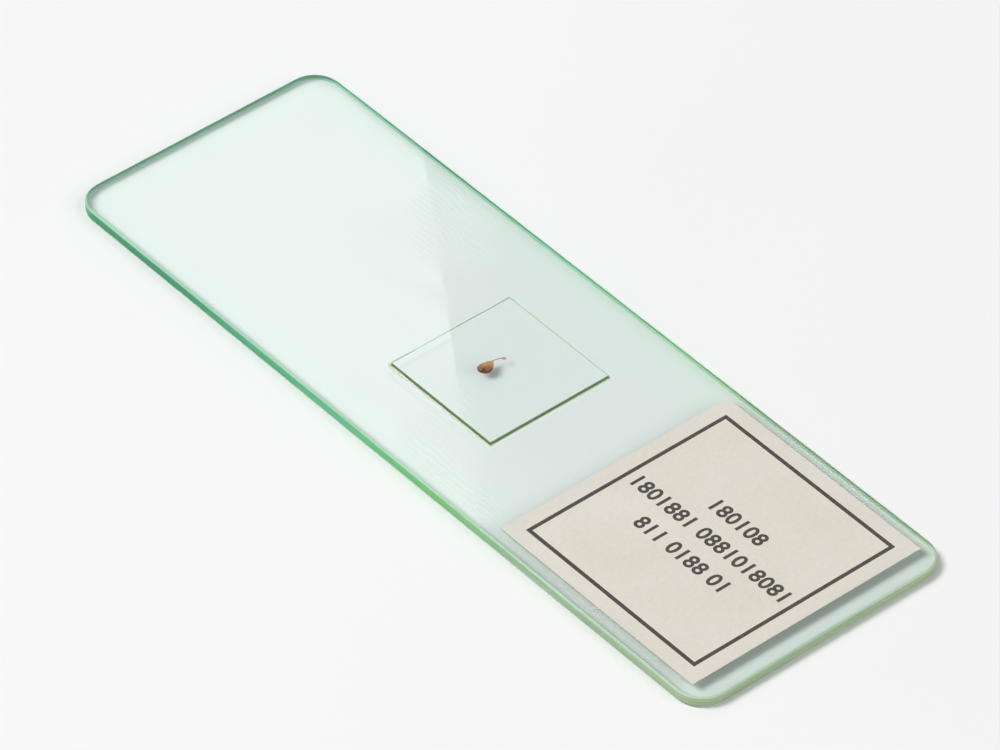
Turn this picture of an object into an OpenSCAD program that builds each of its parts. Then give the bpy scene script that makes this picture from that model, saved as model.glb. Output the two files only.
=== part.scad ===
// Prepared microscope slide, lying flat on its underside, in millimetres.
// X runs along the slide with the label at +X. Y runs across it with the top of the label
// at +Y. Z is up. The origin is the centre of the underside.

/* [Glass slide] */
// Length of the slide
slide_l = 76.2; // [63:0.1:92]
// Width of the slide
slide_w = 25.4; // [21:0.1:31]
// Thickness of the slide
slide_t = 1.0; // [0.8:0.05:1.5]
// Radius of the slide's rounded corners
corner_r = 2.5; // [0.5:0.1:4]
// Width of the ground arris that runs round both faces
arris = 0.12; // [0.05:0.01:0.3]

/* [Cover glass] */
// Length of the cover glass, along the slide
cover_l = 12; // [8:0.5:15]
// Width of the cover glass, across the slide
cover_w = 12; // [8:0.5:18]
// Thickness of the cover glass
cover_t = 0.17; // [0.1:0.01:0.25]

/* [Mountant] */
// Thickness of the resin over the top of the specimen
resin_over = 0.03; // [0.01:0.01:0.1]
// Height that the bead of resin climbs up the sides of the cover glass
bead_climb = 0.12; // [0.02:0.01:0.2]

/* [Specimen] */
// Place of the body's round end along the slide, from the slide's centre
specimen_x = -0.9; // [-3:0.1:3]
// Place of the body's round end across the slide, from the slide's centre
specimen_y = -0.8; // [-3:0.1:2]
// Lean of the body, in degrees from +Y towards -X
specimen_lean = 16; // [-90:1:90]
// Radius of the body's round end
body_r = 0.6; // [0.4:0.05:1]
// Length of the body's taper, from the middle of the round end to the point
taper_l = 1.1; // [0.9:0.05:2]
// Thickness of the body at its middle
body_t = 0.09; // [0.08:0.01:0.2]
// Radius of the shallow dome that is the body's upper side
dome_r = 12; // [12:0.5:30]
// Width of the stalk
stalk_w = 0.12; // [0.05:0.01:0.2]
// Thickness of the stalk
stalk_t = 0.05; // [0.02:0.01:0.07]
// Radius of the stalk's bend, at the middle of its width
stalk_bend_r = 1.1; // [0.5:0.1:3]
// Angle that the stalk bends through
stalk_turn = 62; // [20:1:90]
// Radius of the knob at the end of the stalk
knob_r = 0.17; // [0.1:0.01:0.4]

/* [Label] */
// Length of the label, along the slide
label_l = 22.2; // [15:0.1:27]
// Bare glass between the label and each long edge of the slide
label_side_gap = 1.2; // [0.3:0.1:3]
// Bare glass between the label and the end of the slide
label_end_gap = 2.1; // [0.5:0.1:4]
// Thickness of the label's paper
label_t = 0.1; // [0.05:0.01:0.2]

/* [Hidden] */
$fn = 96;

// The resin film is as thick as the specimen and the resin over it.
film_t = body_t + resin_over;
// The bead is a concave quarter round, and it climbs no higher than the cover glass.
bead_r = film_t + min(bead_climb, cover_t);
// The taper's two arcs leave the round end at its widest and meet at the point.
taper_r = (body_r * body_r + taper_l * taper_l) / (2 * body_r);
// The stalk starts inside the taper, where the taper is already wider than the stalk.
stalk_start = taper_l - 2 * stalk_w;

// Half of the slide's section, from its middle out to the arrised edge at half_w.
module half_section(half_w) {
    polygon([
        [0, 0],
        [half_w - arris, 0],
        [half_w, arris],
        [half_w, slide_t - arris],
        [half_w - arris, slide_t],
        [0, slide_t]
    ]);
}

// A straight bar along X with the slide's section, centred over the origin.
module arrised_bar(length, width) {
    rotate([90, 0, 90]) linear_extrude(length, center = true) {
        half_section(width / 2);
        mirror([1, 0]) half_section(width / 2);
    }
}

// Plate of soda-lime glass with rounded corners and an arris ground round both faces.
module glass_slide() {
    straight_l = slide_l - 2 * corner_r;
    straight_w = slide_w - 2 * corner_r;
    color([0.80, 0.93, 0.87, 0.5]) union() {
        arrised_bar(straight_l, slide_w);
        rotate([0, 0, 90]) arrised_bar(straight_w, slide_l);
        for (x = [-1, 1], y = [-1, 1])
            translate([x * straight_l / 2, y * straight_w / 2, 0])
                rotate_extrude() half_section(corner_r);
    }
}

// Thin square of glass on top of the resin film.
module cover_glass() {
    color([0.86, 0.95, 0.92, 0.5])
        translate([-cover_l / 2, -cover_w / 2, slide_t + film_t])
            cube([cover_l, cover_w, cover_t]);
}

// Section of the bead: a concave fillet between the slide and the side of the cover glass.
module bead_section() {
    difference() {
        square(bead_r);
        translate([bead_r, bead_r]) circle(bead_r);
    }
}

// The resin that squeezed out all round the cover glass: four runs and four corners.
module bead() {
    for (quarter = [0:3]) {
        half_run = (quarter % 2 == 0 ? cover_l : cover_w) / 2;
        side = (quarter % 2 == 0 ? cover_w : cover_l) / 2;
        rotate([0, 0, 90 * quarter]) {
            translate([0, side, 0])
                rotate([90, 0, 90])
                    linear_extrude(2 * half_run, center = true) bead_section();
            translate([half_run, side, 0])
                rotate_extrude(angle = 90) bead_section();
        }
    }
}

// Outline of the body: a round end that runs smoothly into a pointed taper towards +Y.
module body_outline() {
    circle(body_r);
    intersection() {
        translate([taper_r - body_r, 0]) circle(taper_r);
        translate([body_r - taper_r, 0]) circle(taper_r);
        translate([-body_r, 0]) square([2 * body_r, taper_l]);
    }
}

// The body: flat against the slide, with a shallow dome over it.
module body() {
    intersection() {
        linear_extrude(body_t) body_outline();
        translate([0, taper_l / 4, body_t - dome_r]) sphere(dome_r, $fn = 400);
    }
}

// The stalk leaves the taper along +Y, bends towards +X and ends in a knob.
module stalk() {
    translate([stalk_bend_r, stalk_start, 0]) {
        rotate([0, 0, 180 - stalk_turn])
            rotate_extrude(angle = stalk_turn)
                translate([stalk_bend_r - stalk_w / 2, 0]) square([stalk_w, stalk_t]);
        rotate([0, 0, 180 - stalk_turn])
            translate([stalk_bend_r, 0, 0]) cylinder(h = stalk_t, r = knob_r);
    }
}

// The whole specimen as it lies on the slide.
module specimen_form() {
    translate([specimen_x, specimen_y, slide_t])
        rotate([0, 0, specimen_lean]) {
            body();
            stalk();
        }
}

// Stained specimen, sealed under the cover glass.
module specimen() {
    color([0.42, 0.24, 0.15]) specimen_form();
}

// Resin film with its bead. It has set round the specimen, so it holds a pocket of that form.
module mountant() {
    color([0.93, 0.88, 0.66, 0.5]) difference() {
        translate([0, 0, slide_t]) {
            translate([-cover_l / 2, -cover_w / 2, 0]) cube([cover_l, cover_w, film_t]);
            bead();
        }
        specimen_form();
    }
}

// Square paper label, stuck to the slide's upper face.
module label() {
    label_w = slide_w - 2 * label_side_gap;
    color([0.93, 0.92, 0.88])
        translate([slide_l / 2 - label_end_gap - label_l, -label_w / 2, slide_t])
            cube([label_l, label_w, label_t]);
}

glass_slide();
cover_glass();
mountant();
specimen();
label();
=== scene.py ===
from math import cos, radians, sin

import bmesh
import bpy
from mathutils import Matrix, Vector, noise


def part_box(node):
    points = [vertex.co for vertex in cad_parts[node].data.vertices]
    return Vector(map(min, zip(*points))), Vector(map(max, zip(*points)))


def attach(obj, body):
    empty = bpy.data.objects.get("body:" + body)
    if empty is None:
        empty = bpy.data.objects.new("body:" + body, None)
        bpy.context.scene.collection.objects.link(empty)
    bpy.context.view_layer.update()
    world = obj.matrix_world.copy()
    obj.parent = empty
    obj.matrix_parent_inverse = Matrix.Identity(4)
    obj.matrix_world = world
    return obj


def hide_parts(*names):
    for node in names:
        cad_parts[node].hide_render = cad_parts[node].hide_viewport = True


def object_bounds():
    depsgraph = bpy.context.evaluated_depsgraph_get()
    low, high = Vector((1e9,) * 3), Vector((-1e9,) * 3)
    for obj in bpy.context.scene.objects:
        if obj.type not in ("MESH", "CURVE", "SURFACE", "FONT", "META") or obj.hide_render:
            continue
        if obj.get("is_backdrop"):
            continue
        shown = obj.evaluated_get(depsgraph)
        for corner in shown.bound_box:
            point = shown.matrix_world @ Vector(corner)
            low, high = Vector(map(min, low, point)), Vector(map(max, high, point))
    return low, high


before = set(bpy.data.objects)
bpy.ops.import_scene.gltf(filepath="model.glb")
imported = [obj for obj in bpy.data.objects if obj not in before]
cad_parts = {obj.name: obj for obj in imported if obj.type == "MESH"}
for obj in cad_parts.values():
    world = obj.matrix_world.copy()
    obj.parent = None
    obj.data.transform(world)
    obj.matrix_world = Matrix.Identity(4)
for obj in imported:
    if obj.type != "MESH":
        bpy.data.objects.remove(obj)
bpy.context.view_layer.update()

MM = 0.001

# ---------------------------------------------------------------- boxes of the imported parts
SLIDE_LOW, SLIDE_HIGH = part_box("glass_slide")
COVER_LOW, COVER_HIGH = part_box("cover_glass")
RESIN_LOW, RESIN_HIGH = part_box("mountant")
SPECIMEN_LOW, SPECIMEN_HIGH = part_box("specimen")
LABEL_LOW, LABEL_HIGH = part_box("label")

# ---------------------------------------------------------------- glass slide
# Only the straight runs of a rim are longer than LONG_EDGE. The arris is ground wider by up to
# ARRIS_WANDER. The stuck patch reaches past the cover glass, halfway under the resin's bead.
CORNER_R = 2.5 * MM
CORNER_SEGMENTS = 18
LONG_EDGE = 4 * CORNER_R
EDGE_STEP = 0.35 * MM
ARRIS = 0.12 * MM
ARRIS_WANDER = 0.08 * MM
STUCK_MARGIN = 0.12 * MM

# ---------------------------------------------------------------- resin
# FILM_GAP keeps faces that touch from lying in one plane. The bead's least and most width are
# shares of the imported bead's.
FILM_GAP = 0.002 * MM
BEAD_R = RESIN_HIGH.z - RESIN_LOW.z
BEAD_STEPS = 7
BEAD_CORNER_SEGMENTS = 8
BEAD_CUTS = 70
BEAD_LEAST = 0.75
BEAD_MOST = 1.9

# ---------------------------------------------------------------- specimen
# Lumps and dimples are shares of the body's size. A lower BODY_FLATNESS makes its dome flatter.
# The taper narrows by up to TAPER_NARROWING of its width, and sooner with more TAPER_EASE.
BODY_R = 0.6 * MM
BODY_X = -0.9 * MM
BODY_LEAN = radians(16)
BODY_LUMP = 0.06
BODY_DIMPLE = 0.5
BODY_FLATNESS = 0.6
BODY_SUBDIVISIONS = 5
TAPER_L = 1.1 * MM
TAPER_NARROWING = 0.46
TAPER_EASE = 0.5
# STALK_ROOT is how deep the stalk starts inside the body.
STALK_R = 0.06 * MM
STALK_T = 0.05 * MM
STALK_ROOT = 4 * STALK_R
STALK_BEND_R = 1.1 * MM
STALK_TURN = radians(62)
STALK_SWAY = 0.02 * MM
STALK_SEGMENTS = 12
STALK_STEPS = 20
KNOB_R = 0.17 * MM
KNOB_SUBDIVISIONS = 3

# ---------------------------------------------------------------- label
# The cockled paper dips by up to PAPER_COCKLE. The numbers' weight thickens their strokes, as a
# share of the type's size, and their spacing is a share of its usual one.
PAPER_STEP = 0.55 * MM
PAPER_COCKLE = 0.012 * MM
FRAME_INSET = 1.35 * MM
FRAME_LINE = 0.36 * MM
NUMBER_ROWS = ("180108", "1801881 0881018081", "811 0188 01")
NUMBER_HEIGHT = 1.45 * MM
NUMBER_WEIGHT = 0.026
NUMBER_SPACING = 1.06
NUMBER_PITCH = 2.8 * MM
NUMBER_CURVE_STEPS = 6
INK_LIFT = 0.003 * MM

# ---------------------------------------------------------------- wavering patterns: fineness, seed
FINE_GRINDING = (900, 3)
SLOW_GRINDING = (150, 7)
BEAD_FLOW = (420, 5)
BODY_LUMPS = (2.3, 4)
BODY_DIMPLES = (4.5, 9)
STALK_BENDS = (3000, 2)
PAPER_WAVES = (260, 6)

# ---------------------------------------------------------------- limits of the mesh work
# A face is level where its normal's Z is past FLAT, and upright where it is under UPRIGHT.
LEVEL_AXES = (0, 1)
FLAT = 0.9
UPRIGHT = 0.1
MERGE = 1e-8
HAIR = 1e-7
CREASE = radians(30)
BEAD_CREASE = radians(50)
TISSUE_CREASE = radians(80)
SORTING_WAY = Vector((0.742, 0.561, 0.367))


# ---------------------------------------------------------------- mesh tools
def block(low, high):
    """A bmesh box between its lowest and highest corners."""
    bm = bmesh.new()
    place = Matrix.Translation((low + high) / 2) @ Matrix.Diagonal((high - low).to_4d())
    bmesh.ops.create_cube(bm, size=1, matrix=place)
    return bm


def settle_order(bm):
    """Sorts edges and faces along a skew line, as bevel, extrude and spin leave them in any order."""
    bm.edges.sort(key=lambda edge: SORTING_WAY.dot(edge.verts[0].co + edge.verts[1].co))
    bm.faces.sort(key=lambda face: SORTING_WAY.dot(face.calc_center_median()))


def finish_mesh(name, bm, finishes, crease=CREASE):
    """An object at the origin with these finishes, shaded smooth up to the crease angle."""
    bmesh.ops.remove_doubles(bm, verts=bm.verts, dist=MERGE)
    settle_order(bm)
    bm.normal_update()
    for face in bm.faces:
        face.smooth = True
    for edge in bm.edges:
        edge.smooth = edge.is_manifold and edge.calc_face_angle(0) < crease
    mesh = bpy.data.meshes.new(name)
    bm.to_mesh(mesh)
    bm.free()
    for finish in finishes:
        mesh.materials.append(finish)
    piece = bpy.data.objects.new(name, mesh)
    bpy.context.scene.collection.objects.link(piece)
    return piece


def stand_in(piece, slot, *nodes):
    """Lets the piece ride on the body, and show in place of these nodes. The slot is not used."""
    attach(piece, "root")
    if nodes:
        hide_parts(*nodes)
    return piece


def let_light_by(piece):
    """Keeps a clear piece from dimming the lamps' light that reaches what is under it."""
    piece.visible_shadow = False
    piece.visible_diffuse = False


def within(place, low, high, margin=0.0):
    """Whether a place lies inside a rectangle that is widened by the margin."""
    inside_x = low.x - margin < place.x < high.x + margin
    return inside_x and low.y - margin < place.y < high.y + margin


def direction(edge):
    """The unit vector along an edge."""
    return (edge.verts[1].co - edge.verts[0].co).normalized()


def wander(place, pattern):
    """A smooth wavering value from 0 to 1 that depends on the place and the pattern alone."""
    fineness, seed = pattern
    return 0.5 + 0.5 * noise.noise(place * fineness + Vector((seed, 2 * seed, 3 * seed)))


def sway(place, pattern):
    """The same wavering, to both sides of 0."""
    return wander(place, pattern) - 0.5


def from_core(place, low, high, margin):
    """The level step to a place from the nearest point of a rectangle shrunk by the margin."""
    core_x = min(max(place.x, low.x + margin), high.x - margin)
    core_y = min(max(place.y, low.y + margin), high.y - margin)
    return Vector((place.x - core_x, place.y - core_y, 0))


def cut_upper_face(bm, axis, places):
    """Cuts the upper face across an axis at each place."""
    for place in places:
        bm.normal_update()
        faces = [f for f in bm.faces if f.normal.z > FLAT]
        parts = dict.fromkeys(faces)
        for face in faces:
            parts.update(dict.fromkeys(face.edges))
            parts.update(dict.fromkeys(face.verts))
        across = Vector((axis == 0, axis == 1, 0))
        bmesh.ops.bisect_plane(bm, geom=list(parts), dist=HAIR, plane_co=across * place,
                               plane_no=across)


def cut_round(bm, low, high, margin=0.0):
    """Cuts the upper face along the four sides of a rectangle widened by the margin."""
    for axis in LEVEL_AXES:
        cut_upper_face(bm, axis, (low[axis] - margin, high[axis] + margin))


# ---------------------------------------------------------------- making the slide
def round_corners(bm):
    """Rounds the four upright corners."""
    corners = [e for e in bm.edges if abs(direction(e).z) > FLAT]
    bmesh.ops.bevel(bm, geom=corners, offset=CORNER_R, segments=CORNER_SEGMENTS, profile=0.5,
                    affect="EDGES", material=-1)


def grind_arris(bm):
    """Bevels both rims, and lets the ground bands waver as they do off a grinding belt."""
    bm.normal_update()
    rims = [e for e in bm.edges if sorted(round(abs(f.normal.z)) for f in e.link_faces) == [0, 1]]
    bmesh.ops.bevel(bm, geom=rims, offset=ARRIS, segments=1, profile=0.5,
                    affect="EDGES", material=-1)
    straight = [e for e in bm.edges if e.calc_length() > LONG_EDGE]
    for axis in LEVEL_AXES:
        runs = [e for e in straight if e.is_valid and abs(direction(e)[axis]) > FLAT]
        cuts = round(runs[0].calc_length() / EDGE_STEP)
        bmesh.ops.subdivide_edges(bm, edges=runs, cuts=cuts)
    bm.normal_update()
    for side in (1, -1):
        bmesh.ops.dissolve_faces(bm, faces=[f for f in bm.faces if side * f.normal.z > FLAT])
    mid_z = (SLIDE_LOW.z + SLIDE_HIGH.z) / 2
    for vert in bm.verts:
        depth = ARRIS_WANDER * wander(vert.co, FINE_GRINDING) * wander(vert.co, SLOW_GRINDING)
        if min(vert.co.z - SLIDE_LOW.z, SLIDE_HIGH.z - vert.co.z) < HAIR:
            vert.co -= from_core(vert.co, SLIDE_LOW, SLIDE_HIGH, CORNER_R).normalized() * depth
        else:
            vert.co.z += depth if vert.co.z < mid_z else -depth


def make_slide(face_glass, edge_glass, ground_glass, stuck_glass):
    """The slide, with the patches where the label and the resin are stuck to it."""
    bm = block(SLIDE_LOW, SLIDE_HIGH)
    round_corners(bm)
    grind_arris(bm)
    patches = ((LABEL_LOW, LABEL_HIGH, 0), (COVER_LOW, COVER_HIGH, STUCK_MARGIN))
    for patch in patches:
        cut_round(bm, *patch)
    bm.normal_update()
    polished, edge, ground, stuck = range(4)
    for face in bm.faces:
        middle = face.calc_center_median()
        if abs(face.normal.z) < UPRIGHT:
            face.material_index = edge
        elif abs(face.normal.z) < FLAT:
            face.material_index = ground
        elif face.normal.z > 0 and any(within(middle, *patch) for patch in patches):
            face.material_index = stuck
        else:
            face.material_index = polished
    piece = finish_mesh("slide_plate", bm, [face_glass, edge_glass, ground_glass, stuck_glass])
    return stand_in(piece, "slide_glass", "glass_slide")


# ---------------------------------------------------------------- making the cover glass and resin
def make_cover(face_glass, edge_glass, contact):
    """The cover glass, with an underside that is one with the resin."""
    bm = block(COVER_LOW, COVER_HIGH)
    bm.normal_update()
    for face in bm.faces:
        # The upper face takes the first finish, the sides the second and the underside the third.
        face.material_index = 1 - round(face.normal.z)
    piece = finish_mesh("cover_plate", bm, [face_glass, edge_glass, contact])
    let_light_by(piece)
    return stand_in(piece, "cover_glass", "cover_glass")


def make_resin(bead_resin, contact):
    """The resin film under the cover glass, in a concave bead that spreads unevenly round it."""
    bm = bmesh.new()
    size = RESIN_HIGH - RESIN_LOW
    place = Matrix.Translation((0, 0, SLIDE_HIGH.z + FILM_GAP))
    place = place @ Matrix.Diagonal((size.x, size.y, 1, 1))
    bmesh.ops.create_grid(bm, x_segments=1, y_segments=1, size=0.5, matrix=place)
    bmesh.ops.bevel(bm, geom=bm.verts[:], offset=BEAD_R, segments=BEAD_CORNER_SEGMENTS,
                    profile=0.5, affect="VERTICES", material=-1)
    runs = [e for e in bm.edges if e.calc_length() > size.x / 2]
    bmesh.ops.subdivide_edges(bm, edges=runs, cuts=BEAD_CUTS)
    film = bm.faces[:]
    for step in range(BEAD_STEPS):
        start, end = (radians(90) * k / BEAD_STEPS for k in (step, step + 1))
        bmesh.ops.inset_region(bm, faces=film, thickness=BEAD_R * (sin(end) - sin(start)),
                               depth=BEAD_R * (cos(start) - cos(end)), use_even_offset=True,
                               use_boundary=True)
    bead = [f for f in bm.faces if f not in film]
    for vert in bm.verts:
        reach = from_core(vert.co, COVER_LOW, COVER_HIGH, -FILM_GAP)
        stretch = BEAD_LEAST + (BEAD_MOST - BEAD_LEAST) * wander(vert.co, BEAD_FLOW) ** 2
        vert.co += reach * (stretch - 1)
    sunk = bmesh.ops.extrude_face_region(bm, geom=film)["geom"]
    bmesh.ops.delete(bm, geom=film, context="FACES_ONLY")
    sunk = [v for v in sunk if isinstance(v, bmesh.types.BMVert)]
    bmesh.ops.translate(bm, verts=sunk, vec=(0, 0, COVER_LOW.z - RESIN_HIGH.z - 2 * FILM_GAP))
    bmesh.ops.holes_fill(bm, edges=[e for e in bm.edges if e.is_boundary], sides=0)
    bmesh.ops.recalc_face_normals(bm, faces=bm.faces)
    for face in bm.faces:
        face.material_index = 0 if face in bead else 1
    piece = finish_mesh("resin_film", bm, [bead_resin, contact], BEAD_CREASE)
    let_light_by(piece)
    return stand_in(piece, "mounting_resin", "mountant")


# ---------------------------------------------------------------- making the specimen
def body_form(bm, thickness):
    """A round end that runs into a taper, domed on top and flattened below."""
    made = bmesh.ops.create_icosphere(bm, subdivisions=BODY_SUBDIVISIONS, radius=1)["verts"]
    for vert in made:
        x, y, z = vert.co
        if y > 0:
            x *= 1 - TAPER_NARROWING * y * y * (1 + TAPER_EASE - TAPER_EASE * y)
            y *= TAPER_L / BODY_R
        lump = BODY_LUMP * sway(vert.co, BODY_LUMPS)
        dimple = BODY_DIMPLE * sway(vert.co, BODY_DIMPLES) * (1 - abs(z)) ** 0.5
        z = abs(z) ** BODY_FLATNESS * (1 if z > 0 else -1)
        vert.co = Vector((x * (1 + lump) * BODY_R, y * (1 - abs(lump)) * BODY_R,
                          thickness / 2 * (1 + z * (1 - abs(dimple)))))


def stalk_form(bm):
    """A thin bent stalk with a knob at its end."""
    start = TAPER_L - STALK_ROOT
    centre = Vector((STALK_BEND_R, start, STALK_T / 2))
    place = Matrix.Translation((0, start, STALK_T / 2)) @ Matrix.Rotation(radians(90), 4, "X")
    place = place @ Matrix.Diagonal((1, STALK_T / 2 / STALK_R, 1, 1))
    bmesh.ops.create_circle(bm, cap_ends=True, segments=STALK_SEGMENTS, radius=STALK_R, matrix=place)
    bmesh.ops.spin(bm, geom=bm.faces[:], cent=centre, axis=(0, 0, -1), angle=STALK_TURN,
                   steps=STALK_STEPS, use_merge=False, use_duplicate=False)
    turned = Matrix.Rotation(-STALK_TURN, 4, "Z")
    end = centre + turned @ Vector((-STALK_BEND_R, 0, 0))
    flat = Matrix.Translation(end) @ Matrix.Diagonal((1, 1, STALK_T / 2 / KNOB_R, 1))
    bmesh.ops.create_icosphere(bm, subdivisions=KNOB_SUBDIVISIONS, radius=KNOB_R, matrix=flat)
    for vert in bm.verts:
        vert.co.x += STALK_SWAY * sway(vert.co, STALK_BENDS)


def make_specimen(body_tissue, stalk_tissue):
    """The stained specimen: its body, and the paler stalk with its knob."""
    bm = bmesh.new()
    stalk_form(bm)
    for face in bm.faces:
        face.material_index = 1
    body_form(bm, SPECIMEN_HIGH.z - SPECIMEN_LOW.z)
    place = Vector((BODY_X, SPECIMEN_LOW.y + BODY_R, SPECIMEN_LOW.z + FILM_GAP))
    bm.transform(Matrix.Translation(place) @ Matrix.Rotation(BODY_LEAN, 4, "Z"))
    bmesh.ops.recalc_face_normals(bm, faces=bm.faces)
    piece = finish_mesh("specimen_tissue", bm, [body_tissue, stalk_tissue], TISSUE_CREASE)
    return stand_in(piece, "stained_specimen", "specimen")


# ---------------------------------------------------------------- making the label
def paper_dip(place):
    """How far the cockled paper lies below its highest at a place."""
    return PAPER_COCKLE * wander(place, PAPER_WAVES)


def print_boxes():
    """Lowest and highest corners of the printed frame's four sides."""
    inset = Vector((FRAME_INSET, FRAME_INSET, 0))
    line = Vector((FRAME_LINE, FRAME_LINE, 0))
    low, high = LABEL_LOW + inset, LABEL_HIGH - inset
    return [
        (low, Vector((high.x, low.y + line.y, 0))),
        (Vector((low.x, high.y - line.y, 0)), high),
        (low, Vector((low.x + line.x, high.y, 0))),
        (Vector((high.x - line.x, low.y, 0)), high),
    ]


def make_label(paper, ink):
    """The paper label, with its frame printed flush in its upper face."""
    bm = block(LABEL_LOW + Vector((0, 0, FILM_GAP)), LABEL_HIGH)
    for axis in LEVEL_AXES:
        low, high = LABEL_LOW[axis], LABEL_HIGH[axis]
        steps = round((high - low) / PAPER_STEP)
        cut_upper_face(bm, axis, [low + (high - low) * k / steps for k in range(1, steps)])
    printed = print_boxes()
    for box in printed:
        cut_round(bm, *box)
    bm.normal_update()
    for face in bm.faces:
        middle = face.calc_center_median()
        on_top = face.normal.z > FLAT
        face.material_index = 1 if on_top and any(within(middle, *box) for box in printed) else 0
    for vert in bm.verts:
        if LABEL_HIGH.z - vert.co.z < HAIR:
            vert.co.z -= paper_dip(vert.co)
    piece = finish_mesh("label_sheet", bm, [paper, ink])
    return stand_in(piece, "label_paper", "label")


def number_row(text, middle):
    """The mesh of a row of plain numbers, as thick as its ink, with its middle at a place."""
    curve = bpy.data.curves.new("number_outline", "FONT")
    curve.body = text
    curve.align_x = "CENTER"
    curve.space_character = NUMBER_SPACING
    curve.resolution_u = NUMBER_CURVE_STEPS
    curve.offset = NUMBER_WEIGHT
    curve.extrude = INK_LIFT / 2 / NUMBER_HEIGHT
    outline = bpy.data.objects.new("number_outline", curve)
    bpy.context.scene.collection.objects.link(outline)
    flat = bpy.data.meshes.new_from_object(outline)
    bpy.data.objects.remove(outline)
    heights = [v.co.y for v in flat.vertices]
    low, high = min(heights), max(heights)
    scale = Matrix.Scale(NUMBER_HEIGHT / (high - low), 4)
    flat.transform(Matrix.Translation(middle) @ scale @ Matrix.Translation((0, -(low + high) / 2, 0)))
    return flat


def make_numbers(ink):
    """Rows of plain numbers round the label's middle, in digits that read the same mirrored."""
    bm = bmesh.new()
    middle = (LABEL_LOW + LABEL_HIGH) / 2
    for row, text in enumerate(NUMBER_ROWS):
        down = NUMBER_PITCH * (row - (len(NUMBER_ROWS) - 1) / 2)
        flat = number_row(text, Vector((middle.x, middle.y - down, LABEL_HIGH.z)))
        bm.from_mesh(flat)
        bpy.data.meshes.remove(flat)
    for vert in bm.verts:
        vert.co.z += INK_LIFT - paper_dip(vert.co)
    return stand_in(finish_mesh("label_numbers", bm, [ink]), "label_paper")


# ---------------------------------------------------------------- shader tools
# The Mix node has sockets of every kind; these are its share and its colours.
MIX_SHARE = 0
MIX_FIRST = 6
MIX_SECOND = 7
MIX_RESULT = 2


def put(tree, socket, value):
    """Wires an output to the input, or sets the input's own value."""
    if isinstance(value, bpy.types.NodeSocket):
        tree.links.new(value, socket)
    else:
        socket.default_value = value


def node(tree, kind, settings=None, **inputs):
    """A new shader node; inputs are given by name, with _ for a space."""
    made = tree.nodes.new("ShaderNode" + kind)
    for name, value in (settings or {}).items():
        setattr(made, name, value)
    for name, value in inputs.items():
        put(tree, made.inputs[name.replace("_", " ")], value)
    return made


def sum_up(tree, operation, first, second, clamp=False):
    """The outcome of a sum on two values."""
    made = node(tree, "Math", {"operation": operation, "use_clamp": clamp})
    put(tree, made.inputs[0], first)
    put(tree, made.inputs[1], second)
    return made.outputs["Value"]


def mix_colours(tree, share, first, second, mode="MIX"):
    """The first colour, with this share of the second mixed in."""
    made = node(tree, "Mix", {"data_type": "RGBA", "blend_type": mode})
    put(tree, made.inputs[MIX_SHARE], share)
    put(tree, made.inputs[MIX_FIRST], first)
    put(tree, made.inputs[MIX_SECOND], second)
    return made.outputs[MIX_RESULT]


def spread(tree, value, low, high, start=0.0, end=1.0):
    """Maps a value from low..high to start..end, and holds it there."""
    made = node(tree, "MapRange", Value=value, From_Min=low, From_Max=high, To_Min=start, To_Max=end)
    return made.outputs["Result"]


def object_place(tree, scale=(1, 1, 1)):
    """The place on the object, in metres times the scale."""
    coords = node(tree, "TexCoord")
    return node(tree, "Mapping", Vector=coords.outputs["Object"], Scale=scale).outputs["Vector"]


def ramp(tree, value, *stops):
    """A colour that runs through these stops of position and colour."""
    made = node(tree, "ValToRGB")
    put(tree, made.inputs["Fac"], value)
    elements = made.color_ramp.elements
    while len(elements) < len(stops):
        elements.new(1.0)
    for element, (position, colour) in zip(elements, stops):
        element.position = position
        element.color = colour
    return made.outputs["Color"]


def relief(tree, height, strength):
    """The normal of a fine relief."""
    made = node(tree, "Bump", Strength=strength, Distance=RELIEF_DEPTH, Height=height)
    return made.outputs["Normal"]


def rgb(red, green, blue):
    """An opaque colour."""
    return (red, green, blue, 1.0)


def material(name):
    """A new material with no nodes, and its node tree."""
    made = bpy.data.materials.new(name)
    made.use_nodes = True
    made.node_tree.nodes.clear()
    return made, made.node_tree


def surface(tree, shader):
    """Makes a shader the material's surface."""
    out = node(tree, "OutputMaterial")
    put(tree, out.inputs["Surface"], shader.outputs[0])


def group(name, outputs, **inputs):
    """An empty node group with number inputs and their usual values, and named outputs."""
    tree = bpy.data.node_groups.new(name, "ShaderNodeTree")
    for key, value in inputs.items():
        socket = tree.interface.new_socket(key, in_out="INPUT", socket_type="NodeSocketFloat")
        socket.default_value = value
    for key in outputs:
        tree.interface.new_socket(key, in_out="OUTPUT", socket_type="NodeSocketFloat")
    return tree, tree.nodes.new("NodeGroupInput").outputs, tree.nodes.new("NodeGroupOutput").inputs


def place_group(tree, inner, **inputs):
    """The outputs of a node group placed in a tree with its own values."""
    made = tree.nodes.new("ShaderNodeGroup")
    made.node_tree = inner
    for key, value in inputs.items():
        put(tree, made.inputs[key], value)
    return made.outputs


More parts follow.
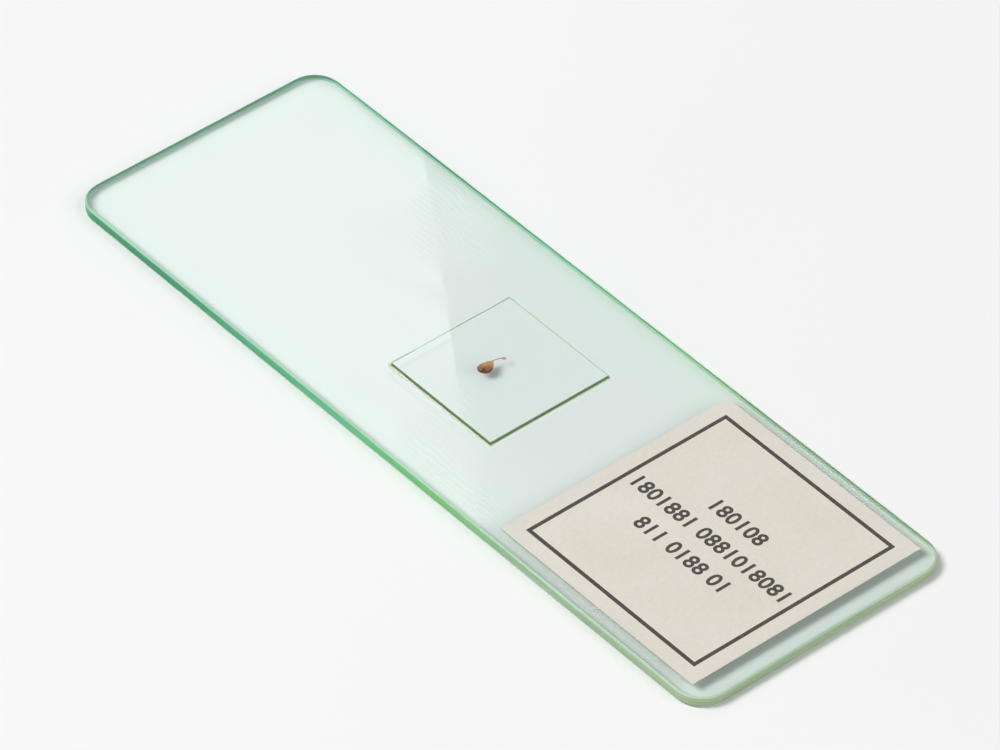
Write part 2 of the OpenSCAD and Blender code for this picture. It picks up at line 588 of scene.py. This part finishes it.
# ---------------------------------------------------------------- colours
CLEAR = rgb(1.0, 1.0, 1.0)
SLIDE_TINT = rgb(0.905, 0.955, 0.935)
COVER_TINT = rgb(0.975, 0.985, 0.98)
# From the plain end to the label end. The pale stops at the label end are painted light, the glow the
# label paper throws on the edge.
SLIDE_EDGE_GREENS_AND_LABEL_LIGHT = (
    (0.0, rgb(0.035, 0.40, 0.20)),
    (0.18, rgb(0.03, 0.36, 0.17)),
    (0.42, rgb(0.13, 0.62, 0.32)),
    (0.60, rgb(0.20, 0.66, 0.19)),
    (0.74, rgb(0.46, 0.64, 0.42)),
    (1.0, rgb(0.52, 0.62, 0.39)),
)
SLIDE_EDGE_SHADE = rgb(0.55, 0.72, 0.62)
# The arris is likewise paler at the label end, with painted light from the label paper.
ARRIS_GREENS_AND_LABEL_LIGHT = (
    (0.0, rgb(0.38, 0.70, 0.52)),
    (1.0, rgb(0.60, 0.74, 0.58)),
)
ARRIS_SHADE = rgb(0.75, 0.85, 0.78)
# Both cover edge tones are the glass's green darkened with painted shade.
COVER_EDGE_SHADED_DARK = rgb(0.08, 0.24, 0.05)
COVER_EDGE_SHADED_PALE = rgb(0.17, 0.40, 0.10)
RESIN_GREENS = (
    (0.0, rgb(0.88, 0.90, 0.76)),
    (0.3, rgb(0.62, 0.76, 0.44)),
    (0.8, rgb(0.42, 0.80, 0.24)),
)
PAPER_DARK = rgb(0.675, 0.635, 0.55)
PAPER_PALE = rgb(0.775, 0.74, 0.66)
PAPER_FLECK = rgb(0.45, 0.37, 0.26)
INK_BLACK = rgb(0.05, 0.041, 0.034)
INK_WORN = rgb(0.22, 0.19, 0.16)
BODY_DARK = rgb(0.09, 0.032, 0.016)
BODY_PALE = rgb(0.60, 0.32, 0.15)
STALK_DARK = rgb(0.42, 0.20, 0.16)
STALK_PALE = rgb(0.60, 0.33, 0.26)
FLOOR_DARK = rgb(0.90, 0.90, 0.895)
FLOOR_PALE = rgb(0.92, 0.92, 0.915)
SKY = rgb(0.97, 0.98, 1.0)

# ---------------------------------------------------------------- values of the finishes
# A RANGE is the part of a pattern's values that shows, and a SHARE is how strongly it does. The
# fibres have a stretch along each axis and a turn.
GLASS_IOR = 1.52
PAPER_IOR = 1.45
RELIEF_DEPTH = 0.01 * MM
NOISE_RANGE = (0.3, 0.7)
WIPING_SCALE = (38, 120, 100)
WIPED_RANGE = (0.45, 0.75)
WIPED_SHARE = 0.6
PRINT_RANGE = (0.52, 0.68)
DUST_ROUGHNESS = 0.35
GROUND_LINE_RANGE = (0.35, 0.7)
CHIP_RANGE = (0.62, 0.72)
CHIP_SHARE = 0.25
FELT_SHARE = 0.6
CLOUD_SHARE = 0.4
FLECK_SHARE = 0.3
WORN_RANGE = (0.3, 0.75)
WORN_SHARE = 0.35
FIBRE_TONE = ((5200, 1600, 900), 0.5)
FIBRE_HEIGHT = ((1800, 6500, 900), -0.4)
STAIN_RANGE = (-0.5 * MM, 1.3 * MM)
MOTTLE_SHARE = 0.35
KERNEL_RANGE = (0.15, 0.5)
KERNEL_DARK = -0.16
KERNEL_PALE = 0.05


# ---------------------------------------------------------------- shared effects
def handling_marks():
    """Wiped smears and a few prints of fingers: how far they dull the polish."""
    tree, given, out = group("handling_marks", ["Dulling"], Amount=0.1)
    wiped = node(tree, "TexNoise", Vector=object_place(tree, WIPING_SCALE), Scale=1.0, Detail=4.0,
                 Distortion=1.2)
    where = node(tree, "TexNoise", Vector=object_place(tree), Scale=55.0, Detail=2.0)
    ridges = node(tree, "TexWave", {"wave_type": "RINGS"}, Vector=object_place(tree), Scale=680.0,
                  Distortion=11.0, Detail=2.0, Detail_Scale=0.45)
    patches = spread(tree, where.outputs["Fac"], *PRINT_RANGE)
    prints = sum_up(tree, "MULTIPLY", patches, ridges.outputs["Fac"])
    wiping = spread(tree, wiped.outputs["Fac"], *WIPED_RANGE, end=WIPED_SHARE)
    both = sum_up(tree, "MAXIMUM", wiping, prints)
    put(tree, out["Dulling"], sum_up(tree, "MULTIPLY", both, given["Amount"]))
    return tree


def fine_specks():
    """Sparse specks of dust, as a mask."""
    tree, given, out = group("fine_specks", ["Mask"], Scale=900.0, Size=0.08, Share=0.2)
    cells = node(tree, "TexVoronoi", Vector=object_place(tree), Scale=given["Scale"])
    pick = node(tree, "SeparateColor", Color=cells.outputs["Color"])
    chosen = sum_up(tree, "LESS_THAN", pick.outputs["Red"], given["Share"])
    size = sum_up(tree, "MULTIPLY", pick.outputs["Green"], given["Size"])
    near = sum_up(tree, "LESS_THAN", cells.outputs["Distance"], size)
    put(tree, out["Mask"], sum_up(tree, "MULTIPLY", near, chosen))
    return tree


def grinding_marks():
    """Fine lengthwise lines that a cut and ground glass edge keeps."""
    tree, given, out = group("grinding_marks", ["Tone", "Height"], Along=90.0, Across=5200.0)
    scale = node(tree, "CombineXYZ", X=given["Along"], Y=given["Along"], Z=given["Across"])
    place = object_place(tree, scale.outputs["Vector"])
    lines = node(tree, "TexNoise", Vector=place, Scale=1.0, Detail=4.0, Roughness=0.6)
    chips = node(tree, "TexNoise", Vector=object_place(tree), Scale=2600.0, Detail=2.0)
    both = sum_up(tree, "ADD", lines.outputs["Fac"],
                  spread(tree, chips.outputs["Fac"], *CHIP_RANGE, end=CHIP_SHARE))
    put(tree, out["Tone"], spread(tree, both, *GROUND_LINE_RANGE))
    put(tree, out["Height"], both)
    return tree


def paper_fibres():
    """Felted fibres of uncoated paper: a faint tone and a relief."""
    tree, given, out = group("paper_fibres", ["Tone", "Height"], Scale=1.0)
    for name, (stretch, turn) in (("Tone", FIBRE_TONE), ("Height", FIBRE_HEIGHT)):
        coords = node(tree, "TexCoord")
        place = node(tree, "Mapping", Vector=coords.outputs["Object"], Rotation=(0, 0, turn),
                     Scale=stretch)
        fibres = node(tree, "TexNoise", Vector=place.outputs["Vector"], Scale=given["Scale"],
                      Detail=5.0, Roughness=0.65)
        put(tree, out[name], fibres.outputs["Fac"])
    return tree


# ---------------------------------------------------------------- finishes
def one_side(tint):
    """The share of a sheet's tint that each of its two faces gives to light going through."""
    return tuple(channel ** 0.5 for channel in tint)


def clear_glass(name, tint, marks, specks, handled):
    """Clear glass that lets the lamps' light straight through to what is under it."""
    made, tree = material(name)
    dulling = place_group(tree, marks, Amount=handled)["Dulling"]
    dust = place_group(tree, specks, Scale=1600.0, Size=0.12, Share=0.12)["Mask"]
    rough = sum_up(tree, "MAXIMUM", dulling, sum_up(tree, "MULTIPLY", dust, DUST_ROUGHNESS))
    glass = node(tree, "BsdfPrincipled", Base_Color=tint, Roughness=rough, IOR=GLASS_IOR,
                 Transmission_Weight=1.0)
    lit = node(tree, "BsdfTransparent", Color=one_side(tint))
    path = node(tree, "LightPath")
    through = sum_up(tree, "MAXIMUM", path.outputs["Is Shadow Ray"], path.outputs["Is Diffuse Ray"])
    mix = node(tree, "MixShader")
    put(tree, mix.inputs[0], through)
    put(tree, mix.inputs[1], glass.outputs["BSDF"])
    put(tree, mix.inputs[2], lit.outputs["BSDF"])
    surface(tree, mix)
    return made


def optical_contact(name, tint):
    """Where two clear pieces are stuck together light goes straight on, with the sheet's tint."""
    made, tree = material(name)
    surface(tree, node(tree, "BsdfTransparent", Color=one_side(tint)))
    return made


def resin_bead():
    """Set resin in a bead: pale where it thins out, olive green up against the cover glass."""
    made, tree = material("resin_bead")
    height = node(tree, "SeparateXYZ", Vector=object_place(tree)).outputs["Z"]
    colour = ramp(tree, spread(tree, height, RESIN_LOW.z, RESIN_HIGH.z), *RESIN_GREENS)
    flow = node(tree, "TexNoise", Vector=object_place(tree), Scale=1500.0, Detail=2.0)
    shader = node(tree, "BsdfPrincipled", Base_Color=colour, Roughness=0.06, IOR=GLASS_IOR,
                  Transmission_Weight=0.75, Normal=relief(tree, flow.outputs["Fac"], strength=0.15))
    surface(tree, shader)
    return made


def edge_green(name, marks, greens_and_label_light, shade, roughness, coat, strength):
    """Glass seen through its edge: green, in fine lengthwise lines, and paler beside the label with
    painted light from the label paper.
    """
    made, tree = material(name)
    along = node(tree, "SeparateXYZ", Vector=object_place(tree)).outputs["X"]
    colour = ramp(tree, spread(tree, along, SLIDE_LOW.x, SLIDE_HIGH.x), *greens_and_label_light)
    lines = place_group(tree, marks)
    deep = mix_colours(tree, 1.0, colour, shade, "MULTIPLY")
    toned = mix_colours(tree, lines["Tone"], deep, colour)
    shader = node(tree, "BsdfPrincipled", Base_Color=toned, Roughness=roughness, IOR=GLASS_IOR,
                  Specular_IOR_Level=0.3, Coat_Weight=coat, Coat_Roughness=0.08,
                  Normal=relief(tree, lines["Height"], strength))
    surface(tree, shader)
    return made


def cover_edge_glass(marks):
    """The cover glass seen through its edge: its own green, deeper than the slide's, darkened with
    painted shade for the dark its edge shows by refraction.
    """
    made, tree = material("cover_edge")
    lines = place_group(tree, marks, Along=300.0, Across=9000.0)
    colour = mix_colours(tree, lines["Tone"], COVER_EDGE_SHADED_DARK, COVER_EDGE_SHADED_PALE)
    shader = node(tree, "BsdfPrincipled", Base_Color=colour, Roughness=0.18, IOR=GLASS_IOR)
    surface(tree, shader)
    return made


def felted_paper(fibres, specks):
    """Uncoated warm white paper, with fibres, a faint cloudiness and a few flecks."""
    made, tree = material("felted_paper")
    felt = place_group(tree, fibres)
    flecks = place_group(tree, specks, Scale=2600.0, Size=0.16, Share=0.06)["Mask"]
    cloud = node(tree, "TexNoise", Vector=object_place(tree), Scale=160.0, Detail=2.0)
    tone = sum_up(tree, "ADD", spread(tree, felt["Tone"], *NOISE_RANGE, end=FELT_SHARE),
                  spread(tree, cloud.outputs["Fac"], *NOISE_RANGE, end=CLOUD_SHARE))
    paper = mix_colours(tree, tone, PAPER_DARK, PAPER_PALE)
    colour = mix_colours(tree, sum_up(tree, "MULTIPLY", flecks, FLECK_SHARE), paper, PAPER_FLECK)
    shader = node(tree, "BsdfPrincipled", Base_Color=colour, Roughness=0.75, IOR=PAPER_IOR,
                  Normal=relief(tree, felt["Height"], strength=0.35))
    surface(tree, shader)
    return made


def printed_ink(fibres):
    """Black ink, a little worn along the fibres of the paper."""
    made, tree = material("printed_ink")
    felt = place_group(tree, fibres)
    wear = spread(tree, felt["Tone"], *WORN_RANGE, end=WORN_SHARE)
    colour = mix_colours(tree, wear, INK_BLACK, INK_WORN)
    shader = node(tree, "BsdfPrincipled", Base_Color=colour, Roughness=0.6, IOR=PAPER_IOR,
                  Normal=relief(tree, felt["Height"], strength=0.3))
    surface(tree, shader)
    return made


def stained_tissue(name, dark, pale, alpha):
    """Stained, cleared tissue: darker at its round end, mottled by what lies inside it."""
    made, tree = material(name)
    place = object_place(tree)
    parts = node(tree, "SeparateXYZ", Vector=place)
    across = sum_up(tree, "SUBTRACT", parts.outputs["Y"], parts.outputs["X"])
    share = spread(tree, across, *STAIN_RANGE)
    mottle = node(tree, "TexNoise", Vector=place, Scale=4200.0, Detail=5.0, Roughness=0.6)
    mottling = spread(tree, mottle.outputs["Fac"], *NOISE_RANGE, -MOTTLE_SHARE, MOTTLE_SHARE)
    uneven = sum_up(tree, "ADD", share, mottling)
    cells = node(tree, "TexVoronoi", Vector=place, Scale=19000.0)
    kernels = spread(tree, cells.outputs["Distance"], *KERNEL_RANGE, KERNEL_DARK, KERNEL_PALE)
    colour = mix_colours(tree, sum_up(tree, "ADD", uneven, kernels, clamp=True), dark, pale)
    shader = node(tree, "BsdfPrincipled", Base_Color=colour, Roughness=0.6, Alpha=alpha,
                  Specular_IOR_Level=0.0)
    surface(tree, shader)
    return made


def studio_floor():
    """A matt, very pale floor with a faint cloudiness."""
    made, tree = material("studio_floor")
    cloud = node(tree, "TexNoise", Vector=object_place(tree), Scale=14.0, Detail=2.0)
    tone = spread(tree, cloud.outputs["Fac"], *NOISE_RANGE)
    colour = mix_colours(tree, tone, FLOOR_DARK, FLOOR_PALE)
    surface(tree, node(tree, "BsdfPrincipled", Base_Color=colour, Roughness=0.8))
    return made


# ---------------------------------------------------------------- the slide and all on it
MARKS = handling_marks()
SPECKS = fine_specks()
GRINDING = grinding_marks()
FIBRES = paper_fibres()

CONTACT = optical_contact("optical_contact", CLEAR)
STUCK_GLASS = optical_contact("slide_stuck_face", SLIDE_TINT)
SLIDE_FACE = clear_glass("clear_slide_glass", SLIDE_TINT, MARKS, SPECKS, handled=0.16)
SLIDE_EDGE = edge_green("slide_edge", GRINDING, SLIDE_EDGE_GREENS_AND_LABEL_LIGHT, SLIDE_EDGE_SHADE,
                        roughness=0.3, coat=0.15, strength=0.25)
GROUND_ARRIS = edge_green("ground_arris", GRINDING, ARRIS_GREENS_AND_LABEL_LIGHT, ARRIS_SHADE,
                          roughness=0.55, coat=0.0, strength=0.5)
COVER_FACE = clear_glass("clear_cover_glass", COVER_TINT, MARKS, SPECKS, handled=0.08)
COVER_EDGE = cover_edge_glass(GRINDING)
BEAD_RESIN = resin_bead()
BODY_TISSUE = stained_tissue("stained_body", BODY_DARK, BODY_PALE, alpha=1.0)
STALK_TISSUE = stained_tissue("stained_stalk", STALK_DARK, STALK_PALE, alpha=0.7)
PAPER = felted_paper(FIBRES, SPECKS)
INK = printed_ink(FIBRES)

make_slide(SLIDE_FACE, SLIDE_EDGE, GROUND_ARRIS, STUCK_GLASS)
make_cover(COVER_FACE, COVER_EDGE, CONTACT)
make_resin(BEAD_RESIN, CONTACT)
make_specimen(BODY_TISSUE, STALK_TISSUE)
make_label(PAPER, INK)
make_numbers(INK)

# ---------------------------------------------------------------- studio
FLOOR_GAP = 0.03 * MM
FLOOR_SIZE = 2.0
SKY_STRENGTH = 0.3
CAMERA_AZIMUTH = 50
CAMERA_ELEVATION = 42
CAMERA_DISTANCE = 0.59
VIEW_WIDTH = 0.078


def lay_floor():
    """The floor, a hair below the slide."""
    bm = bmesh.new()
    below = Matrix.Translation((0, 0, -FLOOR_GAP))
    bmesh.ops.create_grid(bm, x_segments=1, y_segments=1, size=FLOOR_SIZE, matrix=below)
    finish_mesh("floor", bm, [studio_floor()])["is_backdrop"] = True


def light_sky():
    """A weak even light from all round."""
    world = bpy.data.worlds.new("studio")
    bpy.context.scene.world = world
    world.use_nodes = True
    background = world.node_tree.nodes["Background"]
    background.inputs["Color"].default_value = SKY
    background.inputs["Strength"].default_value = SKY_STRENGTH


def towards(azimuth, elevation):
    """The direction from the slide to an azimuth round it, from -Y towards +X, and an elevation."""
    turn, rise = radians(azimuth), radians(elevation)
    return Vector((sin(turn) * cos(rise), -cos(turn) * cos(rise), sin(rise)))


def softbox(name, azimuth, elevation, distance, size, power):
    """A square soft lamp that faces the slide and isn't seen itself."""
    data = bpy.data.lights.new(name, "AREA")
    data.size = size
    data.energy = power
    lamp = bpy.data.objects.new(name, data)
    bpy.context.scene.collection.objects.link(lamp)
    place = towards(azimuth, elevation) * distance
    lamp.location = place
    lamp.rotation_euler = place.to_track_quat("Z", "Y").to_euler()
    lamp.visible_camera = False


def aim_camera():
    """The camera, looking down at the middle of the slide."""
    way = towards(CAMERA_AZIMUTH, CAMERA_ELEVATION)
    low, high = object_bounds()
    data = bpy.data.cameras.new("camera")
    data.lens = data.sensor_width * CAMERA_DISTANCE / VIEW_WIDTH
    camera = bpy.data.objects.new("camera", data)
    bpy.context.scene.collection.objects.link(camera)
    camera.location = (low + high) / 2 + way * CAMERA_DISTANCE
    camera.rotation_euler = way.to_track_quat("Z", "Y").to_euler()
    bpy.context.scene.camera = camera


lay_floor()
light_sky()
softbox("key_light", azimuth=-40, elevation=58, distance=1.5, size=0.7, power=16)
softbox("fill_light", azimuth=115, elevation=40, distance=1.8, size=1.2, power=7.5)
softbox("back_light", azimuth=243, elevation=41, distance=1.7, size=0.55, power=1.0)
aim_camera()

bpy.context.scene.view_settings.view_transform = "Standard"
